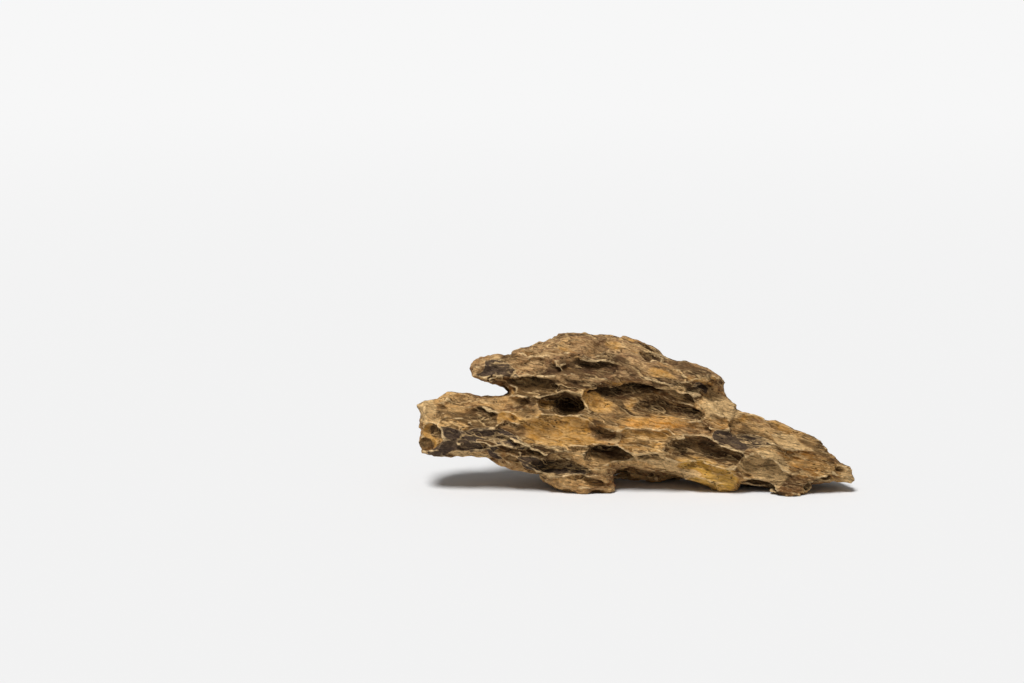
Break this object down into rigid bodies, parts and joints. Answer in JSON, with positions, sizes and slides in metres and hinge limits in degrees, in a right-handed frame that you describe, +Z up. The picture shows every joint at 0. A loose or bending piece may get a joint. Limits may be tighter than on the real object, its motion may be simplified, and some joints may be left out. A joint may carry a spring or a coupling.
{
  "type": "weathered rock with eroded pits",
  "caption": "Long weathered rock of layered stone, worn into scoops, pits and thin ridges, lying on its flat-cut feet as a landscape or tank decoration.",
  "frame": {"origin": "middle of the bounding box in plan, on the ground plane that the feet rest on", "axes": "+X along the stone's length towards its thin tip, +Y from the broad worn face into the stone, +Z up"},
  "size_m": [0.2994, 0.0796, 0.1043],
  "materials": {
    "stone": "dry, rough, ochre and dark brown"
  },
  "bodies": {
    "root": {"dragon_stone": "stone"}
  },
  "joints": []
}
